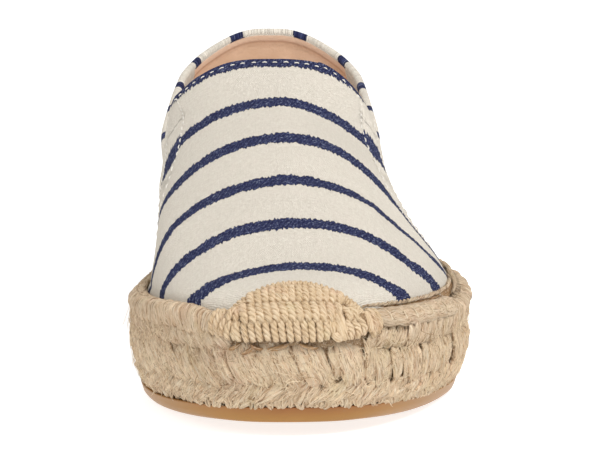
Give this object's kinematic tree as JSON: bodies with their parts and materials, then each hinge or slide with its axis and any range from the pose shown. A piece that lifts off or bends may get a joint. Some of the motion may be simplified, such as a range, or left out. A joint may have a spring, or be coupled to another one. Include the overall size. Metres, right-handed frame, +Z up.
{
  "type": "espadrille smoking slipper",
  "caption": "Left-foot espadrille slipper: striped canvas upper, crocheted jute toe patch, braided jute platform and rubber outsole.",
  "frame": {"origin": "centre of the sole's footprint, on the floor under it", "axes": "toe towards -Y, heel towards +Y, +X across the foot to the lateral (little toe) side, +Z up"},
  "size_m": [0.0943, 0.2542, 0.0881],
  "materials": {
    "canvas": "plain-woven cotton canvas, natural with narrow navy stripes",
    "jute": "braided jute, matt and fibrous",
    "jute_yarn": "twisted jute yarn, crocheted",
    "lining": "pale tan lining leather, matt",
    "gum_rubber": "gum rubber, satin"
  },
  "bodies": {
    "root": {"upper": "canvas", "midsole": "jute", "toe_cap": "jute_yarn", "insole": "lining", "outsole": "gum_rubber"}
  },
  "joints": []
}
